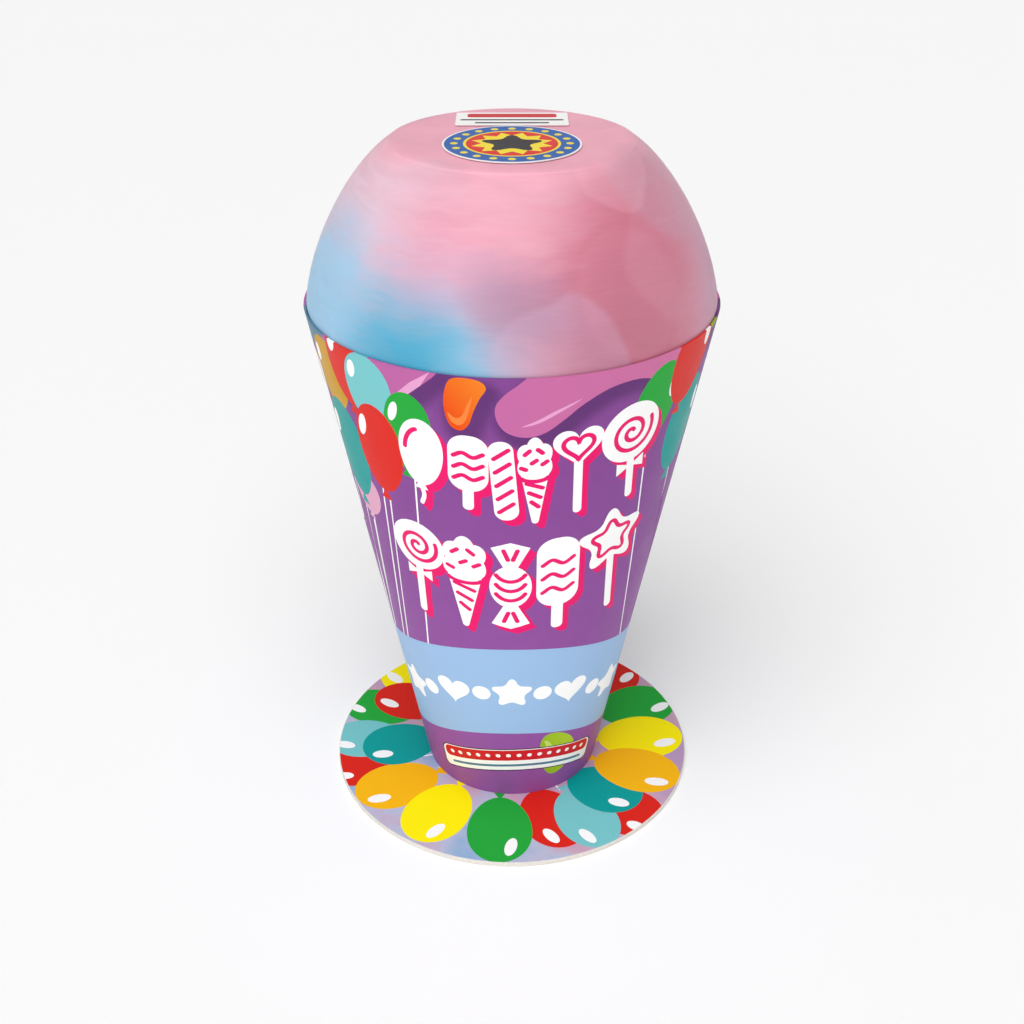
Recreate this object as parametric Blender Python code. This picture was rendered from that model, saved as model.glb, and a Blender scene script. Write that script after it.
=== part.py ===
"""A cotton candy novelty fountain: a printed card cone that stands, narrow end down, on a round card base.

A flat-topped dome, dressed as the spun sugar, is tucked inside the cone's rim and carries two flat labels.
The frame is in metres, +Z up, with the origin on the underside of the base, at its centre.
The front is -Y. The pack is shut, so each piece is solid.
"""

import math

import bmesh
import bpy
from mathutils import Matrix, Vector

MM = 0.001

# Driving dimensions.
TOTAL_HEIGHT = 250 * MM
RIM_HEIGHT = 196 * MM  # top edge of the cone's wrap
RIM_RADIUS = 70.5 * MM
FOOT_RADIUS = 34 * MM
BASE_RADIUS = 71 * MM
BASE_THICKNESS = 2 * MM
CROWN_RADIUS = 37.5 * MM  # flat top of the dome

# How the pieces meet.
GAP = 0.3 * MM
WRAP_THICKNESS = 0.7 * MM  # rolled card, two plies
TUCK_DEPTH = 8 * MM  # how far the dome reaches down inside the rim
LABEL_THICKNESS = 0.3 * MM

# The wrap's glued overlap, which runs down the back of the cone.
SEAM_ANGLE = math.radians(63)  # anticlockwise from +X
SEAM_WIDTH = 11 * MM
SEAM_STEP = 0.45 * MM
SEAM_CUT = math.radians(0.15)  # the step's slant
SEAM_EASE = 3.0  # the ply lifts over this many seam widths

# Shape of the dome's side between rim and crown, as a superellipse.
DOME_RISE_POWER = 1.5
DOME_REACH_POWER = 0.71
CROWN_EDGE_RADIUS = 2.5 * MM
CROWN_EDGE_HEIGHT = 1.2 * MM

# The labels on the crown.
ROUND_LABEL_RADIUS = 22 * MM
ROUND_LABEL_Y = -11 * MM
STRIP_LABEL_SIZE = Vector((37.5 * MM, 16.5 * MM, LABEL_THICKNESS))
STRIP_LABEL_Y = 20.5 * MM
STRIP_CORNER = 0.6 * MM

EDGE_EASE = 0.3 * MM
SEGMENTS = 80
DOME_RINGS = 16
EDGE_RINGS = 4

CONE_FOOT = BASE_THICKNESS + GAP
CROWN_HEIGHT = TOTAL_HEIGHT - LABEL_THICKNESS - GAP
TUCK_FLOOR = RIM_HEIGHT - TUCK_DEPTH
DOME_RADIUS = RIM_RADIUS - WRAP_THICKNESS - GAP


def clear_scene():
    for thing in list(bpy.data.objects):
        bpy.data.objects.remove(thing)


def make_material(name, colour, roughness):
    """A Principled material; colour is linear red, green and blue."""
    material = bpy.data.materials.new(name)
    material.use_nodes = True
    shader = material.node_tree.nodes["Principled BSDF"]
    shader.inputs["Base Color"].default_value = (*colour, 1)
    shader.inputs["Roughness"].default_value = roughness
    shader.inputs["Metallic"].default_value = 0
    material.diffuse_color = (*colour, 1)
    return material


def make_object(name, bm, material, sharp_degrees=35):
    bmesh.ops.recalc_face_normals(bm, faces=bm.faces)
    mesh = bpy.data.meshes.new(name)
    bm.to_mesh(mesh)
    bm.free()
    mesh.shade_smooth()
    mesh.set_sharp_from_angle(angle=math.radians(sharp_degrees))
    mesh.materials.append(material)
    thing = bpy.data.objects.new(name, mesh)
    bpy.context.scene.collection.objects.link(thing)
    return thing


def turned(profile):
    """A closed solid of revolution about Z. The profile runs (radius, height) from axis to axis."""
    bm = bmesh.new()
    points = [bm.verts.new((radius, 0, height)) for radius, height in profile]
    edges = [bm.edges.new(pair) for pair in zip(points, points[1:])]
    bmesh.ops.spin(
        bm,
        geom=points + edges,
        cent=(0, 0, 0),
        axis=(0, 0, 1),
        angle=math.tau,
        steps=SEGMENTS,
        use_merge=True,
    )
    bmesh.ops.remove_doubles(bm, verts=bm.verts, dist=1e-6)
    return bm


def cone_radius(height):
    """Outside radius of the straight wrap at a height, continued in line below the foot."""
    share = (height - CONE_FOOT) / (RIM_HEIGHT - CONE_FOOT)
    return FOOT_RADIUS + (RIM_RADIUS - FOOT_RADIUS) * share


def seam_lift(angle, radius):
    """How far the outer ply stands proud: full over the glued strip, then easing to nothing."""
    along = ((angle - SEAM_ANGLE) % math.tau) * radius
    if along <= SEAM_WIDTH:
        return SEAM_STEP
    share = (along - SEAM_WIDTH) / (SEAM_WIDTH * (SEAM_EASE - 1))
    if share >= 1:
        return 0.0
    return SEAM_STEP * (1 + math.cos(math.pi * share)) / 2


def wrap_angles():
    """Angles round the wrap, with a close pair at the seam's cut edge."""
    step = math.tau / SEGMENTS
    turns = [SEAM_ANGLE + step * k for k in range(SEGMENTS)]
    return turns + [SEAM_ANGLE + math.tau - SEAM_CUT]


def ring(bm, height, radius_at):
    """The wrap's corners round a height; radius_at gives the radius for an angle."""
    corners = []
    for angle in wrap_angles():
        radius = radius_at(angle)
        corners.append(bm.verts.new((radius * math.cos(angle), radius * math.sin(angle), height)))
    return corners


def skin(bm, lower, upper):
    """A band of faces between two rings, corner to corner."""
    for k, corner in enumerate(lower):
        bm.faces.new((lower[k - 1], corner, upper[k], upper[k - 1]))


def make_cone_body(material):
    """The wrapped cone with its glued seam, and the rim that stands up round the dome."""
    bm = bmesh.new()

    def outer(height, inset=0.0):
        straight = cone_radius(height)
        return ring(bm, height, lambda angle: straight - inset + seam_lift(angle, straight))

    def inner(height):
        return ring(bm, height, lambda angle: cone_radius(height) - WRAP_THICKNESS)

    rings = [
        outer(CONE_FOOT, inset=EDGE_EASE),
        outer(CONE_FOOT + EDGE_EASE),
        outer(RIM_HEIGHT),
        inner(RIM_HEIGHT),
        inner(TUCK_FLOOR),
    ]
    for lower, upper in zip(rings, rings[1:]):
        skin(bm, lower, upper)
    bm.faces.new(rings[0])
    bm.faces.new(rings[-1])
    return make_object("cone_body", bm, material)


def dome_side():
    """The dome's side from the rim up to where the crown's edge starts to round over."""
    top = CROWN_HEIGHT - CROWN_EDGE_HEIGHT
    rise = CROWN_HEIGHT - RIM_HEIGHT
    points = []
    for k in range(DOME_RINGS + 1):
        turn = math.pi / 2 * k / DOME_RINGS
        share = math.sin(turn) ** (2 / DOME_RISE_POWER) * (top - RIM_HEIGHT) / rise
        reach = (1 - share**DOME_RISE_POWER) ** DOME_REACH_POWER
        points.append((CROWN_RADIUS + (DOME_RADIUS - CROWN_RADIUS) * reach, RIM_HEIGHT + rise * share))
    return points


def crown_edge(start):
    """A short rounded edge from the dome's side, at start, to the flat crown."""
    flat_radius = CROWN_RADIUS - CROWN_EDGE_RADIUS
    points = []
    for k in range(1, EDGE_RINGS + 1):
        turn = math.pi / 2 * k / EDGE_RINGS
        radius = start[0] + (flat_radius - start[0]) * (1 - math.cos(turn))
        height = start[1] + (CROWN_HEIGHT - start[1]) * math.sin(turn)
        points.append((radius, height))
    return points


def make_dome(material):
    """The flat-topped dome, with the plain skirt that is tucked inside the cone's rim."""
    skirt_bottom = TUCK_FLOOR + GAP
    side = dome_side()
    profile = [
        (0, skirt_bottom),
        (cone_radius(skirt_bottom) - WRAP_THICKNESS - GAP, skirt_bottom),
        *side,
        *crown_edge(side[-1]),
        (0, CROWN_HEIGHT),
    ]
    return make_object("candy_dome", turned(profile), material, sharp_degrees=50)


def make_base(material):
    """The round card base, with its cut edge slightly eased top and bottom."""
    profile = [
        (0, 0),
        (BASE_RADIUS - EDGE_EASE, 0),
        (BASE_RADIUS, EDGE_EASE),
        (BASE_RADIUS, BASE_THICKNESS - EDGE_EASE),
        (BASE_RADIUS - EDGE_EASE, BASE_THICKNESS),
        (0, BASE_THICKNESS),
    ]
    return make_object("base_disc", turned(profile), material, sharp_degrees=60)


def make_round_label(material):
    bm = bmesh.new()
    bmesh.ops.create_cone(
        bm,
        cap_ends=True,
        segments=SEGMENTS // 2,
        radius1=ROUND_LABEL_RADIUS,
        radius2=ROUND_LABEL_RADIUS,
        depth=LABEL_THICKNESS,
    )
    label = make_object("round_label", bm, material)
    label.location = (0, ROUND_LABEL_Y, TOTAL_HEIGHT - LABEL_THICKNESS / 2)
    return label


def make_strip_label(material):
    """The oblong label, with its four upright corners rounded."""
    bm = bmesh.new()
    bmesh.ops.create_cube(bm, size=1, matrix=Matrix.Diagonal((*STRIP_LABEL_SIZE, 1)))
    upright = [edge for edge in bm.edges if edge.verts[0].co.xy == edge.verts[1].co.xy]
    bmesh.ops.bevel(bm, geom=upright, offset=STRIP_CORNER, segments=3, profile=0.5, affect="EDGES")
    label = make_object("strip_label", bm, material)
    label.location = (0, STRIP_LABEL_Y, TOTAL_HEIGHT - LABEL_THICKNESS / 2)
    return label


def main():
    clear_scene()
    make_base(make_material("base_print", (0.56, 0.42, 0.50), 0.55))
    make_cone_body(make_material("cone_print", (0.28, 0.08, 0.33), 0.5))
    make_dome(make_material("candy_print", (0.83, 0.42, 0.52), 0.55))
    make_round_label(make_material("round_label_print", (0.02, 0.12, 0.42), 0.4))
    make_strip_label(make_material("strip_label_paper", (0.88, 0.88, 0.88), 0.4))


main()
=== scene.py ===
import math

import bmesh
import bpy
import numpy as np
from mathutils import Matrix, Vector
from mathutils.geometry import delaunay_2d_cdt


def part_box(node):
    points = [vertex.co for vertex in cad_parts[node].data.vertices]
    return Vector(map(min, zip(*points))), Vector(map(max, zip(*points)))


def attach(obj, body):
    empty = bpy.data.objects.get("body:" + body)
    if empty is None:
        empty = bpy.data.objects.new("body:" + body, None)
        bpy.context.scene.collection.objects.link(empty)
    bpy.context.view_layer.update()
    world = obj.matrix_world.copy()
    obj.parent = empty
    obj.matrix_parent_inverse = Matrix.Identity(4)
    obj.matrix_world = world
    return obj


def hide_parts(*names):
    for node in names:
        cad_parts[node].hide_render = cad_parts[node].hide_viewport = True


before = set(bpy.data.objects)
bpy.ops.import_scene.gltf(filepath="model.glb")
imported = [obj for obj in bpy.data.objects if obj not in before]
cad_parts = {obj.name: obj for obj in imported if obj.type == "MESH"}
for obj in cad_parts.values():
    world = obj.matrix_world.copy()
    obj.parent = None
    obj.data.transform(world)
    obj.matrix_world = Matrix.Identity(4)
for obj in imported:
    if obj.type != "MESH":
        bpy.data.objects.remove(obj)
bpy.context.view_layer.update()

mm = 0.001

# Sizes that come from the frame.
_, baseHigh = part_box("base_disc")
coneLow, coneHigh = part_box("cone_body")
domeLow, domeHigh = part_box("candy_dome")
roundLow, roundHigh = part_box("round_label")
stripLow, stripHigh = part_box("strip_label")

cone = {
    "footZ": coneLow.z,
    "rimZ": coneHigh.z,
    "rimRadius": -coneLow.x,
    "footRadius": 34 * mm,
    "card": 0.7 * mm,  # rolled card, two plies
    "tuck": 8 * mm,  # depth of the open rim that takes the dome
    "seamAngle": 153,  # degrees from the front, towards +X
    "seamWidth": 11 * mm,
    "seamStep": 0.45 * mm,
    "seamEase": 3,
    "seamCut": 0.15,  # degrees over which the cut edge steps down
}
coneHeight = cone["rimZ"] - cone["footZ"]
coneSlope = math.atan2(cone["rimRadius"] - cone["footRadius"], coneHeight)
tuckStep = cone["tuck"] * math.tan(coneSlope)  # how far the wrap draws in over the dome's tuck
footSlant = cone["footRadius"] / math.sin(coneSlope) / mm  # from the cone's apex, measured on the card


def linearFrom(hexColour):
    parts = [int(hexColour[k:k + 2], 16) / 255 for k in (1, 3, 5)]
    return tuple(p / 12.92 if p <= 0.04045 else ((p + 0.055) / 1.055) ** 2.4 for p in parts) + (1,)


def addNode(tree, kind, settings=None, links=None):  # settings by property or socket, links by socket
    node = tree.nodes.new(kind)
    for key, value in (settings or {}).items():
        if isinstance(key, str) and hasattr(node, key):
            setattr(node, key, value)
        else:
            node.inputs[key].default_value = value
    for key, source in (links or {}).items():
        tree.links.new(source, node.inputs[key])
    return node


def startMaterial(name, ior=1.5, shine=0.5):
    material = bpy.data.materials.new(name)
    material.use_nodes = True
    tree = material.node_tree
    shader = tree.nodes["Principled BSDF"]
    shader.inputs["IOR"].default_value = ior
    shader.inputs["Specular IOR Level"].default_value = shine
    shader.inputs["Metallic"].default_value = 0
    where = tree.nodes.new("ShaderNodeTexCoord").outputs["Object"]
    return material, tree, shader, where


# Finish of each printed or bare surface: grain is the size of its surface relief in metres.
finishes = {
    "varnish": {"grain": 0.9 * mm, "relief": 0.010 * mm, "rough": (0.36, 0.46), "patch": 14 * mm},
    "satinSkin": {"grain": 1.6 * mm, "relief": 0.012 * mm, "rough": (0.42, 0.52), "patch": 18 * mm},
    "labelPaper": {"grain": 0.6 * mm, "relief": 0.006 * mm, "rough": (0.28, 0.36), "patch": 8 * mm},
    "bareBoard": {"grain": 0.7 * mm, "relief": 0.030 * mm, "rough": (0.72, 0.86), "patch": 5 * mm},
}


def addFinish(tree, shader, where, finish):  # roughness in patches, and a fine relief
    f = finishes[finish]
    patches = addNode(tree, "ShaderNodeTexNoise", {"Scale": 1 / f["patch"], "Detail": 4}, {"Vector": where})
    low, high = f["rough"]
    rough = addNode(tree, "ShaderNodeMapRange", {"From Min": 0.3, "From Max": 0.7, "To Min": low,
                                                 "To Max": high}, {"Value": patches.outputs["Fac"]})
    tree.links.new(rough.outputs["Result"], shader.inputs["Roughness"])
    grain = addNode(tree, "ShaderNodeTexNoise", {"Scale": 1 / f["grain"], "Detail": 2}, {"Vector": where})
    bump = addNode(tree, "ShaderNodeBump", {"Distance": f["relief"], "Strength": 1},
                   {"Height": grain.outputs["Fac"]})
    tree.links.new(bump.outputs["Normal"], shader.inputs["Normal"])


# Offset ink on coated board under a satin varnish: an even, crisp colour with a broad soft shine.
inkColours = {
    "red": "#DB2419",
    "green": "#22A63A",
    "yellow": "#FFEE00",
    "orange": "#F9B80E",
    # ochre: the orange ink darkened, as painted shade on the far-left balloon of the cone
    "ochre": "#C9980F",
    # slate: a slate ink for the plain rules, and the band's light blue darkened as painted shade for the patch
    # at the cone's top left
    "slate": "#557F96",
    "teal": "#059B97",
    "aqua": "#77C5C8",
    "blush": "#DFA5C0",
    "white": "#FBFBFA",
    "magenta": "#E8146C",
    "band": "#9ABCE1",
    "beanShine": "#F2843C",
    "limeShine": "#C3D968",
    "icingShine": "#E3A0CB",
    "barRed": "#D01F2A",
    "ink": "#2A2228",
    "labelBlue": "#1F5FAE",
    "labelYellow": "#FBE12A",
    "labelRed": "#E0231C",
}


def makeInk(ink, finish="varnish"):
    material, tree, shader, where = startMaterial("offset ink " + ink, shine=0.12)
    shader.inputs["Base Color"].default_value = linearFrom(inkColours[ink])
    addFinish(tree, shader, where, finish)
    return material


inkCache = {}


def inkFor(name, finish="varnish"):
    if (name, finish) not in inkCache:
        inkCache[(name, finish)] = makeInk(name, finish)
    return inkCache[(name, finish)]


# Two inks blended by a halftone: the jelly beans' rounded look, and the icing's drift from mauve to pink, which
# also darkens the left side as painted shade.
def makeBlend(name, first, second, byAxis=None):
    material, tree, shader, where = startMaterial(name, shine=0.12)
    if byAxis:
        parts = addNode(tree, "ShaderNodeSeparateXYZ", {}, {"Vector": where})
        low, high = byAxis
        share = addNode(tree, "ShaderNodeMapRange", {"From Min": low, "From Max": high},
                        {"Value": parts.outputs["X"]}).outputs["Result"]
    else:
        share = addNode(tree, "ShaderNodeAttribute", {"attribute_name": "tone"}).outputs["Fac"]
    blend = addNode(tree, "ShaderNodeMix", {"data_type": "RGBA", 6: linearFrom(first), 7: linearFrom(second)},
                    {"Factor": share})
    tree.links.new(blend.outputs[2], shader.inputs["Base Color"])
    addFinish(tree, shader, where, "varnish")
    return material


# Uncoated grey-back board: a dry, faintly mottled fibre surface, seen at cut edges and underneath.
def makeBoard(name, pale, dark, fibre=0.5 * mm):
    material, tree, shader, where = startMaterial(name)
    fibres = addNode(tree, "ShaderNodeTexNoise", {"Scale": 1 / fibre, "Detail": 6, "Roughness": 0.7},
                     {"Vector": where})
    ramp = addNode(tree, "ShaderNodeValToRGB", {}, {"Fac": fibres.outputs["Fac"]})
    ramp.color_ramp.elements[0].position = 0.35
    ramp.color_ramp.elements[0].color = linearFrom(dark)
    ramp.color_ramp.elements[1].position = 0.65
    ramp.color_ramp.elements[1].color = linearFrom(pale)
    tree.links.new(ramp.outputs["Color"], shader.inputs["Base Color"])
    addFinish(tree, shader, where, "bareBoard")
    return material


# Purple tint laid by screen printing: slightly uneven, with the printed soft shadow under the icing.
def makePurple():
    material, tree, shader, where = startMaterial("screened purple field", shine=0.12)
    height = addNode(tree, "ShaderNodeSeparateXYZ", {}, {"Vector": where})
    rise = addNode(tree, "ShaderNodeMapRange", {"From Min": 0.02, "From Max": cone["rimZ"]},
                   {"Value": height.outputs["Z"]})
    field = addNode(tree, "ShaderNodeMix", {"data_type": "RGBA", 6: linearFrom("#93549F"),
                                            7: linearFrom("#824690")}, {"Factor": rise.outputs["Result"]})
    mottle = addNode(tree, "ShaderNodeTexNoise", {"Scale": 1 / (6 * mm), "Detail": 5}, {"Vector": where})
    tone = addNode(tree, "ShaderNodeMapRange", {"To Min": 0.94, "To Max": 1.06},
                   {"Value": mottle.outputs["Fac"]})
    toned = addNode(tree, "ShaderNodeVectorMath", {"operation": "SCALE"},
                    {0: field.outputs[2], "Scale": tone.outputs["Result"]})
    shade = addNode(tree, "ShaderNodeAttribute", {"attribute_name": "shade"})
    shaded = addNode(tree, "ShaderNodeMix", {"data_type": "RGBA", 7: linearFrom("#452259")},
                     {"Factor": shade.outputs["Fac"], 6: toned.outputs["Vector"]})
    tree.links.new(shaded.outputs[2], shader.inputs["Base Color"])
    addFinish(tree, shader, where, "varnish")
    return material


# A shape is loops of points in millimetres on the flat card, an inside test and an ink. Later ones cover
# earlier ones.
def turned(points, degrees, centre=(0, 0)):
    c, s = math.cos(math.radians(degrees)), math.sin(math.radians(degrees))
    return np.asarray(points) @ np.array([[c, s], [-s, c]]) + centre


def insidePolygon(loop, spots):
    inside = np.zeros(len(spots), bool)
    x, y = spots[:, 0], spots[:, 1]
    for (x0, y0), (x1, y1) in zip(loop, np.roll(loop, -1, axis=0)):
        crosses = (y0 > y) != (y1 > y)
        if y1 != y0:
            inside ^= crosses & (x < (x1 - x0) * (y - y0) / (y1 - y0) + x0)
    return inside


def distanceTo(line, spots):  # shortest distance from each spot to a polyline
    best = np.full(len(spots), 1e9)
    for a, b in zip(line, line[1:]):
        along = b - a
        t = np.clip(((spots - a) @ along) / max(along @ along, 1e-12), 0, 1)
        best = np.minimum(best, np.hypot(*(spots - a - t[:, None] * along).T))
    return best


def area(ink, loop):
    loop = np.asarray(loop, float)
    return {"ink": ink, "loops": [loop], "inside": lambda spots: insidePolygon(loop, spots), "solid": loop}


def stroke(ink, line, width, closed=False):  # a round-ended line, or a ring
    line = np.asarray(line, float)
    half = width / 2
    ahead = np.roll(line, -1, axis=0) - np.roll(line, 1, axis=0)
    if not closed:
        ahead[0], ahead[-1] = line[1] - line[0], line[-1] - line[-2]
    side = np.stack([-ahead[:, 1], ahead[:, 0]], 1) / np.hypot(*ahead.T)[:, None] * half
    if closed:
        loops, path = [line + side, line - side], np.vstack([line, line[:1]])
    else:
        def cap(centre, start):
            turn = math.atan2(start[1], start[0])
            steps = [turn - math.pi * k / 10 for k in range(1, 10)]
            return [centre + half * np.array([math.cos(t), math.sin(t)]) for t in steps]
        loops = [np.vstack([line + side, cap(line[-1], side[-1]), (line - side)[::-1], cap(line[0], -side[0])])]
        path = line
    return {"ink": ink, "loops": loops, "inside": lambda spots: distanceTo(path, spots) <= half}


def shifted(shape, ink, dx, dy):
    step = np.array([dx, dy])
    return {"ink": ink, "loops": [loop + step for loop in shape["loops"]],
            "inside": lambda spots: shape["inside"](spots - step)}


def oval(width, height, count=28):
    turns = np.arange(count) * math.tau / count
    return np.stack([width / 2 * np.cos(turns), height / 2 * np.sin(turns)], 1)


def roundedBox(width, height, radius, steps=6):
    corners = []
    for cx, cy, start in ((1, 1, 0), (-1, 1, 90), (-1, -1, 180), (1, -1, 270)):
        for k in range(steps + 1):
            a = math.radians(start + 90 * k / steps)
            corners.append((cx * (width / 2 - radius) + radius * math.cos(a),
                            cy * (height / 2 - radius) + radius * math.sin(a)))
    return np.array(corners)


def smoothLine(points, perSpan=8, closed=False):  # an even curve through every point
    p = np.asarray(points, float)
    p = np.vstack([p[-1], p, p[:2]]) if closed else np.vstack([2 * p[0] - p[1], p, 2 * p[-1] - p[-2]])
    made = []
    for a, b, c, d in zip(p, p[1:], p[2:], p[3:]):
        for t in np.arange(perSpan) / perSpan:
            made.append(0.5 * (2 * b + (c - a) * t + (2 * a - 5 * b + 4 * c - d) * t**2
                               + (3 * b - a - 3 * c + d) * t**3))
    if not closed:
        made.append(p[-2])
    return np.array(made)


def eggOutline(width, height, count=44):  # a balloon: full at the top, narrowing to its neck
    turns = np.arange(count) * math.tau / count
    narrow = 1 - 0.13 * (1 - np.sin(turns)) ** 1.3 / 2
    return np.stack([width / 2 * np.cos(turns) * narrow, height / 2 * np.sin(turns)], 1)


def balloonAt(place, angle, reach, ink, width, height, lean=0, shine=(-0.26, 0.22), knot=True):
    # place turns an angle and a distance on the card into a point and the way that is up there
    centre, up = place(angle, reach)
    turn = up + lean
    shapes = []
    if knot:
        neck = height / 2
        half, end = 0.09 * width + 0.5, -neck - 0.10 * height
        shapes.append(area(ink, turned([(0, -neck + 1.2), (-half, end), (half, end)], turn, centre)))
    shapes.append(area(ink, turned(eggOutline(width, height), turn, centre)))
    spot = oval(0.17 * width, 0.27 * height, 20)
    lift = np.array([shine[0] * width, shine[1] * height])
    shapes.append(area("white", turned(turned(spot, -14 if shine[0] < 0 else 14) + lift, turn, centre)))
    return shapes


def heartOutline(size, count=64):
    t = np.arange(count) * math.tau / count
    x = 16 * np.sin(t) ** 3
    y = 13 * np.cos(t) - 5 * np.cos(2 * t) - 2 * np.cos(3 * t) - np.cos(4 * t) + 2.5
    return np.stack([x, y], 1) * size / 32


def starOutline(size, points=5, depth=0.22, count=90):  # round-tipped star
    t = np.arange(count) * math.tau / count
    wave = np.cos(points * t) * 0.8 + np.cos(2 * points * t) * 0.14
    r = size / 2 * (1 - depth + depth * wave)
    return np.stack([r * np.sin(t), r * np.cos(t)], 1)


def puffOutline(width, height, lobes, depth=0.09, count=96):  # a spun-sugar puff
    t = np.arange(count) * math.tau / count
    r = (1 - 2 * depth + 2 * depth * np.abs(np.cos(lobes * t / 2))) / 2
    return np.stack([width * r * np.sin(t), height * r * np.cos(t)], 1)


def swirlLine(size, turns=1.9, count=70):
    t = np.linspace(0, 1, count)
    r = size / 2 * (0.12 + 0.88 * t)
    return np.stack([r * np.cos(math.tau * turns * t + 1.0), r * np.sin(math.tau * turns * t + 1.0)], 1)


def conePoint(angle, height):  # a spot on the flat card, and which way is up there in degrees
    slant = footSlant + height / math.cos(coneSlope)
    turn = math.radians(angle) * math.sin(coneSlope)
    return np.array([slant * math.sin(turn), slant * math.cos(turn)]), -math.degrees(turn)


def seamLift(angle, radius):
    along = ((angle - cone["seamAngle"]) % 360) * math.pi / 180 * radius
    share = (along / cone["seamWidth"] - 1) / (cone["seamEase"] - 1)
    if share <= 0:
        return cone["seamStep"]
    return cone["seamStep"] * (1 + math.cos(math.pi * min(share, 1))) / 2


def rolled(x, y):  # the flat card rolled into the cone
    slant = math.hypot(x, y)
    angle = math.degrees(math.atan2(x, y)) / math.sin(coneSlope)
    radius = slant * mm * math.sin(coneSlope)
    z = cone["footZ"] + (slant - footSlant) * mm * math.cos(coneSlope)
    radius += seamLift(angle, radius)
    a = math.radians(angle)
    return Vector((radius * math.sin(a), -radius * math.cos(a), z))


def printedSheet(shapes, border, spots, ground):  # flat triangles, and the ink of each
    points, edges = [], []
    for loop in [border] + [loop for shape in shapes for loop in shape["loops"]]:
        start = len(points)
        points += [Vector(p) for p in loop]
        edges += [(start + k, start + (k + 1) % len(loop)) for k in range(len(loop))]
    points += [Vector(p) for p in spots]
    flat, _, faces, *_ = delaunay_2d_cdt(points, edges, [], 0, 1e-4, False)
    flat = np.array([tuple(p) for p in flat])
    faces = np.array([f for f in faces if len(f) == 3])
    middle = flat[faces].mean(axis=1)
    kept = insidePolygon(np.asarray(border), middle)
    faces, middle = faces[kept], middle[kept]
    inks = np.full(len(faces), ground, dtype=object)
    for shape in shapes:
        low = np.min([loop.min(axis=0) for loop in shape["loops"]], axis=0)
        high = np.max([loop.max(axis=0) for loop in shape["loops"]], axis=0)
        near = np.nonzero(((middle >= low) & (middle <= high)).all(axis=1))[0]
        if len(near):
            inks[near[shape["inside"](middle[near])]] = shape["ink"]
    return flat, faces, inks


def meshPiece(name, bm, materials, body="root"):
    mesh = bpy.data.meshes.new(name)
    bm.to_mesh(mesh)
    bm.free()
    for material in materials:
        mesh.materials.append(material)
    piece = bpy.data.objects.new(name, mesh)
    bpy.context.scene.collection.objects.link(piece)
    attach(piece, body)
    return piece


def sheetMesh(flat, faces, inks, slots, toSpace):
    bm = bmesh.new()
    used = sorted(set(faces.ravel()))
    verts = {k: bm.verts.new(toSpace(*flat[k])) for k in used}
    flatOf = {verts[k]: flat[k] for k in used}
    for face, ink in zip(faces, inks):
        made = bm.faces.new([verts[k] for k in face])
        made.material_index = slots.index(ink)
        made.smooth = True
    return bm, verts, flatOf


def pushedOut(bm, edges, move, slot=None):  # extrudes an edge loop; with no slot it keeps the print going
    old = set(edges)
    made = bmesh.ops.extrude_edge_only(bm, edges=edges)["geom"]
    for vert in [v for v in made if isinstance(v, bmesh.types.BMVert)]:
        vert.co = move(vert.co)
    for face in [f for f in made if isinstance(f, bmesh.types.BMFace)]:
        if slot is None:
            shared = [e.link_faces for e in face.edges if e in old]
            slotHere = next(f.material_index for faces in shared for f in faces if f != face)
        face.material_index = slotHere if slot is None else slot
        face.smooth = False
    return [e for e in made if isinstance(e, bmesh.types.BMEdge) and len(e.link_faces) == 1]


def inward(co, step, drop=0):
    radius = math.hypot(co.x, co.y)
    keep = (radius - step) / radius
    return Vector((co.x * keep, co.y * keep, co.z - drop))


def capLoop(bm, edges, slot):
    for face in bmesh.ops.holes_fill(bm, edges=edges)["faces"]:
        face.material_index = slot
        face.smooth = False


def roundNormals(piece, printed, normalAt):  # printed faces shade as the true curve, the rest flat
    mesh = piece.data
    normals = []
    for polygon in mesh.polygons:
        for index in polygon.vertices:
            curved = printed(polygon)
            normals.append(normalAt(mesh.vertices[index].co) if curved else polygon.normal)
    mesh.normals_split_custom_set(normals)


wrap = {
    "fieldGrid": 2.5,  # degrees between upright lines of mesh, for a round outline
    "rowStep": 9,  # mm between rows
    "fineAbove": 156,  # mm, where the printed shadows need a finer mesh
    "fineStep": 2,  # mm
    "bandTop": 80, "bandLow": 35.5, "bandDip": 14,
    "iconLine": 1.6, "stick": 3.0, "shadowStep": (2.3, -2.4),
    "string": 0.65,
    "shadowStepIcing": (2.0, -3.0), "shadowReach": 5.2, "shadowDepth": 0.62,
}

# Balloons: angle and height of the middle, ink, width, height, lean. The first are furthest back.
leftBalloons = [
    # the far-left balloon is orange printed darker: painted shade at the cone's left edge
    (-61, 179, "ochre", 24, 27, 2),
    (-49, 187, "red", 24, 31, -4),
    (-42, 181, "aqua", 22, 27, -6),
    (-57, 135, "blush", 19, 19, 0),
    (-60.5, 151, "teal", 25, 38, 2),
    (-30, 169.5, "green", 19, 31, -8),
    (-42.5, 158.5, "red", 22, 35, -4),
]
rightBalloons = [
    (43, 175, "green", 21, 32, -12),
    (62, 160, "teal", 25, 36, -8),
    (57, 187, "red", 25, 34, -10),
]
backInks = {"ochre": "green", "red": "yellow", "aqua": "red", "green": "orange", "teal": "aqua",
            "blush": "blush"}
backTurns = (172, -226)  # degrees that take the two groups round to the back


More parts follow.
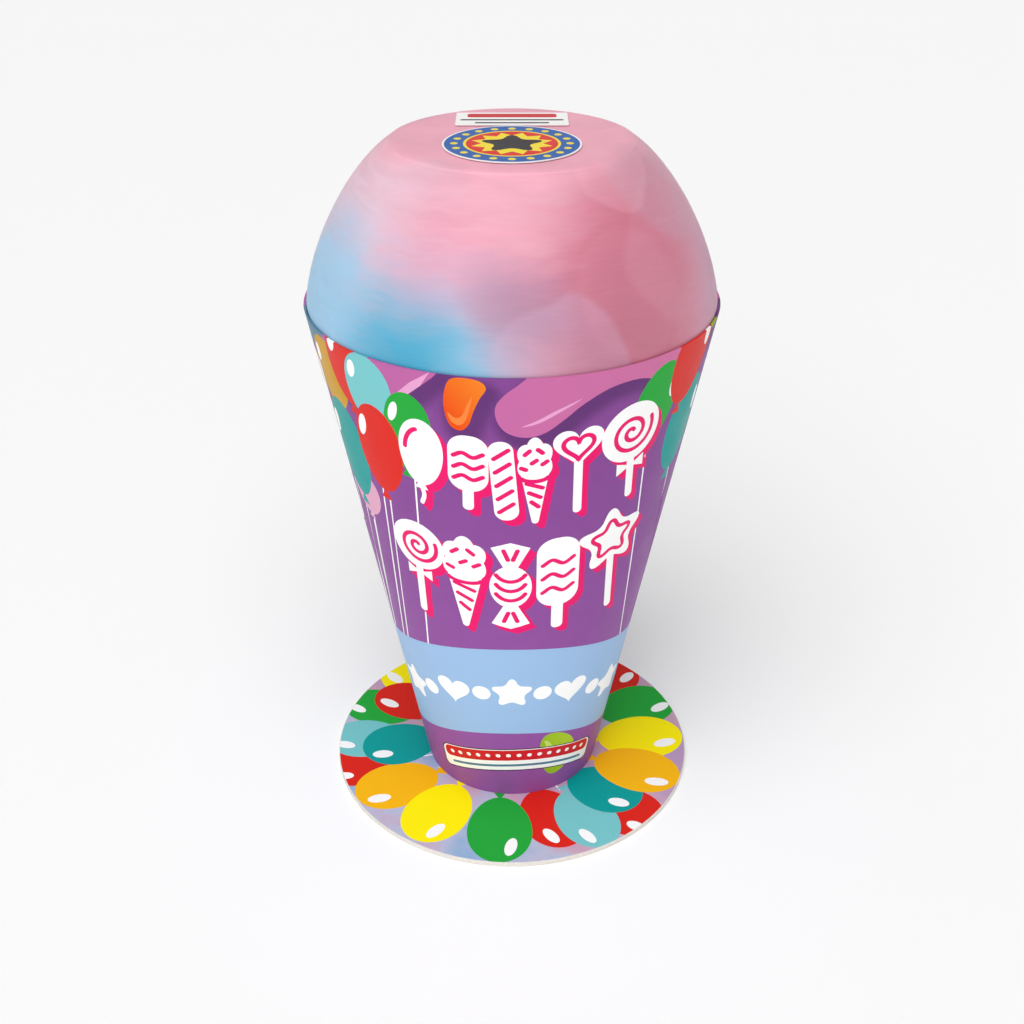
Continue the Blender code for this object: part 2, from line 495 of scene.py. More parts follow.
def balloonGroup(balloons, turn, side, inks=None):  # side is -1 where the shine is on the left
    shapes = []
    for angle, height, ink, _, tall, _ in balloons:
        knot, up = conePoint(angle + turn, height - tall / 2 - 3)
        down = turned([(0, -1)], math.degrees(-math.radians(turn) * math.sin(coneSlope)))[0]
        line = [knot, knot + down * max(height - tall / 2 - wrap["bandTop"] + wrap["bandDip"], 5)]
        shapes.append(stroke("white", line, wrap["string"]))
    for angle, height, ink, width, tall, lean in balloons:
        ink = inks[ink] if inks else ink
        shine = (side * (0.30 if ink != "green" else 0.28), 0.20)
        shapes += balloonAt(conePoint, angle + turn, height, ink, width, tall, lean, shine)
    return shapes


def onCone(points):  # (angle, height) pairs to the flat card
    return np.array([conePoint(a, h)[0] for a, h in points])


def dipped(angle, height, dip):  # lower by the dip at 90 degrees to either side
    return height - dip * (1 - math.cos(math.radians(2 * angle))) / 2


def bandEdge(angle, height):
    return dipped(angle, height, wrap["bandDip"])


def iconParts(kind, wide, tall):  # an upright white treat with magenta line work, its middle at zero
    top = tall / 2
    line, stickWidth = wrap["iconLine"], wrap["stick"]

    def arc(width, height, start, end, at=(0, 0), count=16):
        t = np.radians(np.linspace(start, end, count))
        return np.stack([width / 2 * np.cos(t), height / 2 * np.sin(t)], 1) + at

    def inked(marks):
        return [stroke("magenta", np.asarray(mark) * (wide, tall), line) for mark in marks]

    if kind == "balloon":
        egg, at = 0.78 * tall, (0, 0.11 * tall)
        tail = smoothLine(np.array([(0, -0.29), (0.05, -0.40), (0, -0.5)]) * (wide, tall), 6)
        flare = np.array([(0, -0.20), (-0.14, -0.33), (0.14, -0.33)]) * (wide, tall)
        gleam = arc(wide * 0.66, egg * 0.70, 105, 175, at)
        return [area("white", eggOutline(wide, egg) + at), area("white", flare), stroke("white", tail, line),
                stroke("magenta", gleam, line)]
    if kind == "icePop":
        block = roundedBox(wide, 0.74 * tall, 0.44 * wide, 8) + (0, 0.13 * tall)
        stick = roundedBox(max(stickWidth, 0.28 * wide), 0.32 * tall, 0.12 * wide) + (0, -0.34 * tall)
        waves = [smoothLine([(-0.36, y), (-0.14, y + 0.05), (0.12, y), (0.36, y + 0.05)], 6)
                 for y in (0.22, 0.07, -0.08)]
        return [area("white", block), area("white", stick)] + inked(waves)
    if kind == "candyStick":
        twists = [[(-0.30, y - 0.05), (0.30, y + 0.05)] for y in np.linspace(-0.34, 0.34, 5)]
        return [area("white", roundedBox(wide, tall, 0.48 * wide, 8))] + inked(twists)
    if kind == "sweet":
        side = [(-0.06, 0.14), (-0.46, 0.44), (-0.24, 0.47)]
        fan = np.array(side + [(0, 0.5)] + [(-x, y) for x, y in side[::-1]])
        stripes = [arc(0.84, 0.36, 215, 325, (0, y)) for y in (0.24, 0.13, 0.02)]
        pleats = [[(0.06 * left, 0.31 * up), (0.16 * left, 0.41 * up)] for up in (1, -1) for left in (1, -1)]
        return [area("white", fan * (wide, tall)), area("white", fan * (wide, -tall)),
                area("white", oval(wide, 0.48 * tall, 44))] + inked(stripes + pleats)
    if kind == "sugarCone":
        puff = puffOutline(wide, 0.52 * tall, 6) + (0, 0.24 * tall)
        mouth = np.array([(0.38, 0.10), (-0.38, 0.10)]) * (wide, tall)
        point = np.vstack([mouth, arc(2.4, 2.4, 200, 340, (0, 1.2 - top))])
        sprinkles = [[(x - 0.06, y), (x + 0.06, y + rise)] for x, y, rise in
                     ((-0.20, 0.31, 0.04), (0.14, 0.36, -0.04), (-0.02, 0.21, 0.03), (-0.30, 0.16, -0.02),
                      (0.26, 0.19, 0.03))]
        ridges = [[(-0.22 * share, -0.02 - 0.11 * k), (0.20 * share, -0.08 - 0.11 * k)]
                  for k, share in enumerate((1, 0.72, 0.44))]
        lip = arc(0.72, 0.10, 195, 345, (0, 0.05))
        return [area("white", point), area("white", puff)] + inked([lip] + sprinkles + ridges)
    middle = np.array([0, top - wide / 2])
    stick = stroke("white", [middle, (0, stickWidth / 2 - top)], stickWidth)
    if kind == "swirlPop":
        knot = middle - (0, 0.60 * wide)
        wings = [area("white", np.array([(0, 0), (0.24 * left, 0.11), (0.24 * left, -0.11)]) * wide + knot)
                 for left in (1, -1)]
        return [stick, area("white", oval(wide, wide, 56) + middle), *wings,
                stroke("magenta", swirlLine(wide * 0.74) + middle, line)]
    outline = {"heartPop": heartOutline, "starPop": starOutline}[kind]
    return [stick, area("white", outline(wide) + middle),
            stroke("magenta", outline(wide * 0.60) + middle, line, True)]


# Two rows of treats: kind, angle and height of the middle, width, tallness, lean.
icons = [
    ("balloon", -27, 159, 17, 34, -6),
    ("icePop", -12.6, 157.5, 13.2, 30, -3),
    ("candyStick", -2.4, 155, 8.0, 32, 4),
    ("sugarCone", 6.6, 155, 12, 35, 2),
    ("heartPop", 19.2, 157.5, 17, 35, 4),
    ("swirlPop", 36.5, 160, 23, 39, 8),
    ("swirlPop", -35, 112, 21, 42, -5),
    ("sugarCone", -17, 110.5, 16.5, 42, -3),
    ("sweet", -0.5, 110, 14.4, 40, 0),
    ("icePop", 16.5, 110, 15, 42, 3),
    ("starPop", 37, 115, 27, 47, 8),
]


def titleIcons():
    dx, dy = wrap["shadowStep"]
    fronts, shadows = [], []
    for kind, angle, height, wide, tall, lean in icons:
        centre, up = conePoint(angle, height)
        for shape in iconParts(kind, wide, tall):
            loops = [turned(loop, up + lean, centre) for loop in shape["loops"]]
            test = shape["inside"]
            placed = {"ink": shape["ink"], "loops": loops,
                      "inside": lambda spots, test=test, a=-(up + lean), c=centre: test(turned(spots - c, a))}
            fronts.append(placed)
            if shape["ink"] == "white":
                step = turned([(dx, dy)], up)[0]
                shadows += [shifted(placed, "magenta", *(step * share)) for share in (1, 0.5)]
    return shadows + fronts


bandMarks = ["star", "dot", "heart", "dot", "star", "dot", "heart", "dot", "star"]
bandMarkStep = 14.5  # degrees


def bandRow():  # the plain row of small shapes on the band
    made = []
    outlines = {"heart": heartOutline(13.5), "star": starOutline(15.5), "dot": oval(7, 7)}
    for k, kind in enumerate(bandMarks):
        angle = (k - (len(bandMarks) - 1) / 2) * bandMarkStep
        centre, up = conePoint(angle, bandEdge(angle, 57.5))
        made.append(area("white", turned(outlines[kind], up, centre)))
    return made


def bentBox(angle, height, width, tall, radius, dip=0):  # a box that follows the cone's rings
    box = roundedBox(width, tall, radius)
    dense = []
    for a, b in zip(box, np.roll(box, -1, axis=0)):
        count = max(1, int(np.hypot(*(b - a)) / 3))
        dense += [a + (b - a) * k / count for k in range(count)]
    ringRadius = cone["footRadius"] / mm + height * math.tan(coneSlope)
    made = []
    for x, y in dense:
        turn = math.degrees(x / ringRadius)
        made.append((angle + turn, dipped(turn, height + y, dip)))
    return onCone(made)


def beanOutline(length, width, bend, count=48):
    t = np.arange(count) * math.tau / count
    x = width / 2 * np.cos(t)
    y = length / 2 * np.sin(t)
    return np.stack([x + bend * (y / (length / 2)) ** 2 - bend / 2, y], 1)


# The icing's lower edge at the front, as angle and height; it runs up past the rim at both ends.
frontIcing = [(7, 202), (4.2, 195), (1.5, 191.5), (-1.8, 188), (-4.2, 183.5), (-3.8, 178), (-1, 173.8),
              (4, 172.2), (9, 173.8), (14, 178.3), (19, 183.2), (26, 187.3), (34, 188), (42, 185.5),
              (52, 184), (62, 187), (74, 202)]
leftIcing = [(-15, 202), (-18, 195), (-22, 190), (-28, 184.5), (-35, 179), (-44, 175), (-53, 178), (-58, 190),
             (-62, 202)]
# the light blue of the side panel drawn dark, as painted shade at the top left of the cone
shadedBluePatch = [(-50, 202), (-51, 190), (-57, 185), (-65, 182.5), (-73, 186), (-80, 183.5), (-87, 189),
              (-90, 202)]
orangeBean = [(-15.4, 192.4), (-12, 193.4), (-8, 192.6), (-6.4, 190), (-8.2, 186), (-10, 181), (-11.3, 176.6),
              (-13.6, 174), (-16.5, 175.6), (-17.7, 181.5), (-17.1, 188)]
orangeBeanShine = [(-16.8, 180.4), (-15, 178.6), (-13, 179.6), (-11.4, 184), (-9.9, 187), (-11.2, 181),
                   (-12.6, 177), (-14.4, 175.9), (-16.2, 177.4)]
orangeBeanTone = {"middle": (-11.5, 186), "across": (0.8, 0.6), "width": 18}  # where its two inks blend
icingShine = [(2.5, 176.2), (7, 177.4), (12.5, 181), (18, 185), (11.5, 181.7), (6.5, 178.4)]
leftIcingShine = [(-20.5, 194), (-26.5, 189), (-31.5, 183.5), (-29.5, 182.5), (-23.5, 188.5)]
limePeep = [(60, 202), (63, 194.5), (68, 192.5), (74, 195), (76, 202)]
# More beans: angle and height of the middle, length, width, tilt, ink. Only the first is at the front.
beans = [
    (26, 21, 25, 14.5, 12, "lime"),
    (88, 11, 18, 11, -35, "beanOrange"),
    (-112, 12.5, 19, 11.5, 30, "lime"),
    (92, 122, 23, 14, -25, "lime"),
    (172 - 360, 128, 24, 14, 20, "beanOrange"),
    (140, 16, 20, 12, 15, "beanOrange"),
]
backDrips = [(-96, 30, 20), (-126, 24, 34), (-158, 34, 22), (98, 26, 30), (128, 28, 18)]  # angle, width, reach
# A drip's side: share of half its width, rise in mm, share of its reach.
dripSide = [(-1.5, 6, 0), (-1, -2, 0), (-0.78, 0, 0.5), (-0.55, 0, 0.86), (0, 0, 1), (0.5, 0, 0.88),
            (0.8, 0, 0.45), (1.05, -3, 0), (1.6, 6, 0)]


def icingShapes():
    shapes = []
    for edge in (frontIcing, leftIcing):
        shapes.append(area("icing", onCone(smoothLine(edge, 8))))
    for angle, wide, reach in backDrips:
        perMm = math.degrees(mm / cone["rimRadius"])
        line = [(angle + share * wide / 2 * perMm, coneHeight / mm + rise - part * reach)
                for share, rise, part in dripSide]
        shapes.append(area("icing", onCone(smoothLine(line, 6))))
    return shapes


panel = {"angle": -104, "height": 148, "width": 74, "tall": 66, "head": 11, "rules": 6, "ruleStep": 7.5}


def sidePanel():  # a blank framed panel with a red head and plain rules
    angle, middle, width, tall = panel["angle"], panel["height"], panel["width"], panel["tall"]
    top = middle + tall / 2
    parts = [area("ink", bentBox(angle, middle, width + 1.4, tall + 1.4, 4.4)),
             area("white", bentBox(angle, middle, width, tall, 3.8)),
             area("barRed", bentBox(angle, top - 7, width - 2, panel["head"], 3))]
    for k in range(panel["rules"]):
        short = 10 if k % 3 < 2 else 30
        parts.append(area("slate", bentBox(angle, top - 19 - panel["ruleStep"] * k, width - short, 1.5, 0.7)))
    return parts


bar = {"angle": 4, "width": 65, "dip": 11, "dots": 15, "dotStep": 6, "dotHeight": 22.9}
barBoxes = [  # ink, height of the middle, width past the bar's, tallness, corner
    ("ink", 20.4, 1, 12.6, 3.2),
    ("white", 20.4, 0, 11.6, 2.7),
    ("barRed", 22.9, -1.2, 5.8, 2.2),
    ("slate", 17.2, -9, 1.3, 0.6),
]


def frontBar():  # a plain framed bar with a row of dots
    parts = [area(ink, bentBox(bar["angle"], height, bar["width"] + more, tall, corner, bar["dip"]))
             for ink, height, more, tall, corner in barBoxes]
    for k in range(bar["dots"]):
        turn = (k - (bar["dots"] - 1) / 2) * bar["dotStep"]
        spot, _ = conePoint(bar["angle"] + turn, dipped(turn, bar["dotHeight"], bar["dip"]))
        parts.append(area("white", oval(1.9, 1.9, 12) + spot))
    return parts


def wrapArt():
    icing = icingShapes()
    bean = area("beanOrange", onCone(smoothLine(orangeBean, 5, True)))
    beanShine = area("beanShine", onCone(smoothLine(orangeBeanShine, 5, True)))
    # the dark blue patch under the left balloons is painted shade
    shapes = [area("slate", onCone(smoothLine(shadedBluePatch, 6)))] + icing
    shapes.append(area("icingShine", onCone(smoothLine(icingShine, 6, True))))
    shapes.append(area("icingShine", onCone(leftIcingShine)))
    shapes.append(area("lime", onCone(smoothLine(limePeep, 6))))
    shapes += balloonGroup(leftBalloons, 0, -1) + balloonGroup(rightBalloons, 0, 1)
    shapes += balloonGroup(leftBalloons, backTurns[0], -1, backInks)
    shapes += balloonGroup(rightBalloons, backTurns[1], -1, backInks)
    shapes += sidePanel()
    shapes += [bean, beanShine] + titleIcons()
    first, last = cone["seamAngle"] - 360, cone["seamAngle"]
    ring = np.linspace(first, last, 181)
    bandLoop = [(a, bandEdge(a, wrap["bandTop"])) for a in ring]
    bandLoop += [(a, bandEdge(a, wrap["bandLow"])) for a in ring[::-1]]
    shapes.append(area("band", onCone(bandLoop)))
    shapes += bandRow()
    tone = orangeBeanTone
    tones = [(onCone([tone["middle"]])[0], np.array(tone["across"]) / tone["width"])]
    for angle, height, length, width, tilt, ink in beans:
        centre, up = conePoint(angle, height)
        shapes.append(area(ink, turned(beanOutline(length, width, -0.17 * width), up + tilt, centre)))
        gleam = beanOutline(0.48 * length, 0.17 * width, -0.10 * width) + (-0.18 * width, 0.14 * length)
        shapes.append(area("limeShine" if ink == "lime" else "beanShine", turned(gleam, up + tilt, centre)))
        tones.append((centre, turned([(1 / width, 0)], up + tilt)[0]))
    shapes += frontBar()
    return shapes, icing + [bean], tones


def toneAt(flat, tones):  # the blend of the nearest bean, from 0 on one side to 1 on the other
    gaps = np.array([np.hypot(*(flat - centre).T) for centre, _ in tones])
    shares = np.array([0.5 + (flat - centre) @ across for centre, across in tones])
    return np.clip(shares[gaps.argmin(axis=0), np.arange(len(flat))], 0, 1)


def shadeAt(flat, casters):  # printed soft shadow, from the distance to each caster set down and right
    step = np.array(wrap["shadowStepIcing"])
    best = np.full(len(flat), 1e9)
    for shape in casters:
        loop = shape["solid"] + step
        gap = distanceTo(np.vstack([loop, loop[:1]]), flat)
        gap[insidePolygon(loop, flat)] = 0
        best = np.minimum(best, gap)
    t = np.clip(1 - best / wrap["shadowReach"], 0, 1)
    return wrap["shadowDepth"] * t * t * (3 - 2 * t)


def makeWrap():
    shapes, casters, tones = wrapArt()
    first, last = cone["seamAngle"] - 360, cone["seamAngle"] - cone["seamCut"]
    turns = np.linspace(first, last, round(360 / wrap["fieldGrid"]) + 1)
    top = coneHeight / mm
    rows = list(np.arange(wrap["rowStep"], top - 1, wrap["rowStep"]))
    border = [(a, 0) for a in turns] + [(last, h) for h in rows]
    border += [(a, top) for a in turns[::-1]] + [(first, h) for h in rows[::-1]]
    spots = [(a, h) for a in turns[1:-1] for h in rows]
    fine = np.arange(first + 1, last - 1, wrap["fieldGrid"] / 1.5)
    spots += [(a, h) for a in fine for h in np.arange(wrap["fineAbove"], top - 1, wrap["fineStep"])]
    flat, faces, inks = printedSheet(shapes, onCone(border), onCone(spots), "purple")
    slots = ["purple"] + sorted(set(inks) - {"purple"}) + ["board"]
    bm, verts, flatOf = sheetMesh(flat, faces, inks, slots, rolled)
    printedCount = len(bm.faces)
    board = slots.index("board")

    # the cut edge of the overlap: join the sheet's two ends
    def endVerts(angle):
        found = []
        for vert in bm.verts:
            x, y = flatOf[vert]
            if abs(math.degrees(math.atan2(x, y)) / math.sin(coneSlope) - angle) < 0.02:
                found.append((math.hypot(x, y), vert))
        return [v for _, v in sorted(found, key=lambda item: item[0])]

    begin, end = endVerts(first), endVerts(last)
    print("seam corners:", len(begin), len(end))
    a, b = 0, 0
    while a < len(begin) - 1 or b < len(end) - 1:  # zip the two sides with triangles
        stepA = begin[a + 1].co.z if a < len(begin) - 1 else 1e9
        stepB = end[b + 1].co.z if b < len(end) - 1 else 1e9
        if stepA <= stepB:
            face = bm.faces.new((begin[a], begin[a + 1], end[b]))
            a += 1
        else:
            face = bm.faces.new((begin[a], end[b + 1], end[b]))
            b += 1
        face.material_index = board
        face.smooth = False

    bm.verts.ensure_lookup_table()
    openEdges = [e for e in bm.edges if len(e.link_faces) == 1]
    rimEdges = [e for e in openEdges if e.verts[0].co.z > cone["rimZ"] - 1 * mm]
    footEdges = [e for e in openEdges if e.verts[0].co.z < cone["footZ"] + 1 * mm]
    # the printed skin is turned in over the rim, and the rim is open down to where the dome sits
    lip = pushedOut(bm, rimEdges, lambda co: inward(co, cone["card"]))
    floor = pushedOut(bm, lip, lambda co: inward(co, tuckStep, cone["tuck"]), board)
    capLoop(bm, floor, board)
    under = pushedOut(bm, footEdges, lambda co: inward(co, cone["card"]), board)
    capLoop(bm, under, board)
    bmesh.ops.recalc_face_normals(bm, faces=bm.faces)
    bm.faces.ensure_lookup_table()
    flags = [k < printedCount for k in range(len(bm.faces))]
    inkMaterials = {
        "purple": makePurple(),
        # the icing darkens towards the left: partly a printed drift in hue, partly painted shade
        "icing": makeBlend("mauve to pink inks with painted shade on the left", "#BA62A2", "#D073A0", (-40 * mm, 60 * mm)),
        "beanOrange": makeBlend("blended orange inks", "#E84E0B", "#F08422"),
        "lime": makeBlend("blended lime inks", "#8FB512", "#B4CE30"),
        "board": makeBoard("cut white board edge", "#F2F0EC", "#DAD7D2"),
    }
    piece = meshPiece("wrap_print", bm, [inkMaterials.get(s) or inkFor(s) for s in slots])

    def coneNormal(co):
        out = Vector((co.x, co.y, 0)).normalized()
        return (out * math.cos(coneSlope) - Vector((0, 0, math.sin(coneSlope)))).normalized()

    roundNormals(piece, lambda polygon: flags[polygon.index], coneNormal)
    order = np.array([flat[k] for k in sorted(verts)])
    for name, found in (("shade", shadeAt(order, casters)), ("tone", toneAt(order, tones))):
        values = np.zeros(len(piece.data.vertices), np.float32)
        values[:len(order)] = found
        piece.data.attributes.new(name, "FLOAT", "POINT").data.foreach_set("value", values)
    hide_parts("cone_body")
    print("wrap:", len(piece.data.polygons), "faces")
    return piece


dome = {
    "rings": 44, "edgeRings": 8, "sides": 144,
    "risePower": 1.5, "reachPower": 0.71,
    "crownRadius": 37.5 * mm, "crownEdge": 2.5 * mm, "crownEdgeHeight": 1.2 * mm,
    "gap": 0.3 * mm,
    "pink": "#DF9FB1",  # the colour between the areas
}

# Airbrushed colour areas on the dome: middle (degrees from the front, height share from rim to crown), reach
# in mm, colour, strength, and the share of the reach over which it is full. A high share gives a faint outlined
# lobe. A height share of 1 stands for the middle of the crown. The darker rose and grey-mauve areas on the
# right side are partly painted shade.
domeAreas = [
    ((-62, 0.60), 63, "#DCBCCA", 0.95, 0.05),
    ((-66, 0.0), 56, "#94BDDA", 1.0, 0.2),
    ((-24, -0.15), 54, "#86B6D2", 1.0, 0.2),
    ((-30, -0.05), 36, "#3E9DBE", 1.0, 0.0),
    ((-20, 0.66), 34, "#DA879F", 0.42, 0.0),
    # darker rose on the right: partly painted shade, making the right side darker
    ((44, 0.55), 54, "#C56C80", 0.95, 0.05),
    ((30, 0.10), 44, "#B4667A", 1.0, 0.1),
    ((2, 0.34), 25, "#A17490", 0.78, 0.0),
    # grey-mauve at the right edge: partly painted shade, making that side greyer
    ((80, 0.15), 42, "#BF93AC", 0.9, 0.0),
    ((14, 0.0), 25, "#C2A6C2", 0.26, 0.86),
    ((36, 0.38), 21, "#E09DB0", 0.13, 0.70),
    ((58, 0.52), 24, "#DBA5B8", 0.15, 0.80),
    ((70, 0.86), 26, "#BC9DB3", 0.26, 0.82),
    ((46, 0.95), 17, "#EAB7C6", 0.18, 0.84),
    ((150, 0.05), 62, "#86B6D3", 1.0, 0.2),
    ((135, 0.0), 34, "#459FBF", 0.95, 0.0),
    ((-150, 0.4), 54, "#DCC6DA", 0.85, 0.1),
    ((178, 0.55), 44, "#CE768C", 0.85, 0.0),
    ((0, 1), 46, "#F3ADC0", 0.9, 0.72),
]


domeFit = cone["rimRadius"] - cone["card"] - dome["gap"]  # radius that fits inside the rim


def domeRadius(share, rimRadius):  # radius at a share of the height from rim to crown
    reach = (1 - share ** dome["risePower"]) ** dome["reachPower"]
    return dome["crownRadius"] + (rimRadius - dome["crownRadius"]) * reach


def domeProfile():
    low = cone["rimZ"]
    rise = domeHigh.z - low
    top = domeHigh.z - dome["crownEdgeHeight"]
    points = []
    for k in range(dome["rings"] + 1):
        turn = math.pi / 2 * k / dome["rings"]
        share = math.sin(turn) ** (2 / dome["risePower"]) * (top - low) / rise
        points.append((domeRadius(share, domeFit), low + rise * share))
    start = points[-1]
    flatRadius = dome["crownRadius"] - dome["crownEdge"]
    for k in range(1, dome["edgeRings"] + 1):
        turn = math.pi / 2 * k / dome["edgeRings"]
        points.append((flatRadius + (start[0] - flatRadius) * math.cos(turn),
                       start[1] + (domeHigh.z - start[1]) * math.sin(turn)))
    return points


# High-impact polystyrene formed over a mould and airbrush printed: colours melt into each other, with
# drawn-out wisps. The darker areas on the right side are partly painted shade.
def makeDomeSkin():
    material, tree, shader, where = startMaterial("airbrush print with painted shade on formed styrene", 1.55, 0.3)

    def stretchedNoise(stretch, size, detail, source):  # wisps: noise drawn out sideways
        flat = addNode(tree, "ShaderNodeVectorMath", {"operation": "MULTIPLY", 1: (1, 1, stretch)}, {0: source})
        return addNode(tree, "ShaderNodeTexNoise", {"Scale": 1 / (size * mm), "Detail": detail,
                                                    "Roughness": 0.55}, {"Vector": flat.outputs["Vector"]})

    drift = addNode(tree, "ShaderNodeTexNoise", {"Scale": 1 / (40 * mm), "Detail": 2, "Roughness": 0.45},
                    {"Vector": where})
    centred = addNode(tree, "ShaderNodeVectorMath", {"operation": "SUBTRACT", 1: (0.5, 0.5, 0.5)},
                      {0: drift.outputs["Color"]})
    bend = addNode(tree, "ShaderNodeVectorMath", {"operation": "SCALE", "Scale": 26 * mm},
                   {0: centred.outputs["Vector"]})
    warped = addNode(tree, "ShaderNodeVectorMath", {"operation": "ADD"}, {0: where, 1: bend.outputs["Vector"]})
    wisps = stretchedNoise(5, 24, 5, warped.outputs["Vector"])
    threads = stretchedNoise(12, 9, 3, where)
    wispShift = addNode(tree, "ShaderNodeMapRange", {"From Min": 0.3, "From Max": 0.7, "To Min": -0.10,
                                                     "To Max": 0.10}, {"Value": wisps.outputs["Fac"]})
    colour = None
    for (angle, share), reach, hexColour, most, full in domeAreas:
        a = math.radians(angle)
        r = domeRadius(max(share, 0), cone["rimRadius"]) if share < 1 else 0
        spot = (r * math.sin(a), -r * math.cos(a), cone["rimZ"] + (domeHigh.z - cone["rimZ"]) * share)
        gap = addNode(tree, "ShaderNodeVectorMath", {"operation": "DISTANCE", 1: spot},
                      {0: warped.outputs["Vector"]})
        fade = addNode(tree, "ShaderNodeMapRange", {"From Min": reach * full * mm, "From Max": reach * mm,
                                                    "To Min": 1, "To Max": 0}, {"Value": gap.outputs["Value"]})
        source = fade.outputs["Result"]
        if full < 0.5:  # lobes keep their clean outline
            source = addNode(tree, "ShaderNodeMath", {"operation": "ADD", "use_clamp": True},
                             {0: source, 1: wispShift.outputs["Result"]}).outputs["Value"]
        soft = addNode(tree, "ShaderNodeMapRange", {"interpolation_type": "SMOOTHSTEP", "From Min": 0.06,
                                                    "From Max": 0.9, "To Max": most}, {"Value": source})
        blend = addNode(tree, "ShaderNodeMix", {"data_type": "RGBA", 6: linearFrom(dome["pink"]),
                                                7: linearFrom(hexColour)}, {"Factor": soft.outputs["Result"]})
        if colour:
            tree.links.new(colour, blend.inputs[6])
        colour = blend.outputs[2]
    for noise, depth in ((wisps, 0.06), (threads, 0.03)):
        light = addNode(tree, "ShaderNodeMapRange", {"From Min": 0.25, "From Max": 0.75, "To Min": 1 - depth,
                                                     "To Max": 1 + depth}, {"Value": noise.outputs["Fac"]})
        colour = addNode(tree, "ShaderNodeVectorMath", {"operation": "SCALE"},
                         {0: colour, "Scale": light.outputs["Result"]}).outputs["Vector"]
    tree.links.new(colour, shader.inputs["Base Color"])
    addFinish(tree, shader, where, "satinSkin")
    return material


def makeDome():
    profile = [(0, domeLow.z), (domeFit - tuckStep, domeLow.z), *domeProfile(), (0, domeHigh.z)]
    bm = bmesh.new()
    line = [bm.verts.new((r, 0, z)) for r, z in profile]
    edges = [bm.edges.new(pair) for pair in zip(line, line[1:])]
    bmesh.ops.spin(bm, geom=line + edges, cent=(0, 0, 0), axis=(0, 0, 1), angle=math.tau, steps=dome["sides"],
                   use_merge=True)
    bmesh.ops.remove_doubles(bm, verts=bm.verts, dist=1e-6)
    bmesh.ops.recalc_face_normals(bm, faces=bm.faces)
    piece = meshPiece("dome_skin", bm, [makeDomeSkin()])
    piece.data.shade_smooth()
    piece.data.set_sharp_from_angle(angle=math.radians(50))
    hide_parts("candy_dome")
    print("dome:", len(piece.data.polygons), "faces")
    return piece


base = {
    "radius": baseHigh.x / mm, "thick": baseHigh.z,
    "ease": 0.3, "grid": 6,
    "string": 0.7,
}
# Balloons round the base, necks to the middle: degrees from the front, distance of the middle from the
# centre in mm, ink, width, length, lean. The first are furthest back.
baseBalloons = [
    (-74, 63, "red", 24, 28, 0),
    (46, 62, "red", 27, 29, 0),
    (-134, 57, "yellow", 28, 36, 10),
    (-110, 60, "green", 24, 32, 0),
    (-90, 60, "aqua", 25, 31, 0),
    (134, 57, "red", 27, 32, -6),
    (112, 57, "green", 28, 34, 0),
    (-120, 49, "red", 26, 34, 12),
    (-58, 53.5, "orange", 27, 34, -6),
    (-86, 46, "teal", 27, 31, 14),
    (-33, 52.5, "yellow", 27, 34, 6),
    (18, 49.5, "red", 26, 33, 4),
    (31, 55, "aqua", 25, 33, -6),
    (-5, 53.5, "green", 26.5, 35, 5),
    (91, 53, "yellow", 28, 35, 4),
    (50, 47.5, "teal", 27, 31, 10),
    (69, 53.5, "orange", 27, 35, 0),
    (158, 53, "orange", 27, 34, 0),
    (-156, 52, "teal", 27, 34, 0),
    (-179, 54, "aqua", 26, 33, 4),
]


def discPoint(angle, reach):  # reach is the distance from the centre; up is outward
    a = math.radians(angle)
    return np.array([reach * math.sin(a), -reach * math.cos(a)]), 180 + angle


cloudStops = [(0.34, "#8FB0D2"), (0.46, "#B9BBD3"), (0.54, "#CBA3B8"), (0.66, "#B898BC")]


# Pale cloud tint under the balloons: offset print on coated board, colour drifting from mauve to blue.
def makeCloudTint():
    material, tree, shader, where = startMaterial("cloud tint on coated board", shine=0.12)
    drift = addNode(tree, "ShaderNodeTexNoise", {"Scale": 1 / (48 * mm), "Detail": 4, "Roughness": 0.55},
                    {"Vector": where})
    ramp = addNode(tree, "ShaderNodeValToRGB", {}, {"Fac": drift.outputs["Fac"]})
    elements = ramp.color_ramp.elements
    elements.remove(elements[1])
    elements[0].position, elements[0].color = cloudStops[0][0], linearFrom(cloudStops[0][1])
    for position, colour in cloudStops[1:]:
        elements.new(position).color = linearFrom(colour)
    tree.links.new(ramp.outputs["Color"], shader.inputs["Base Color"])
    addFinish(tree, shader, where, "varnish")
    return material


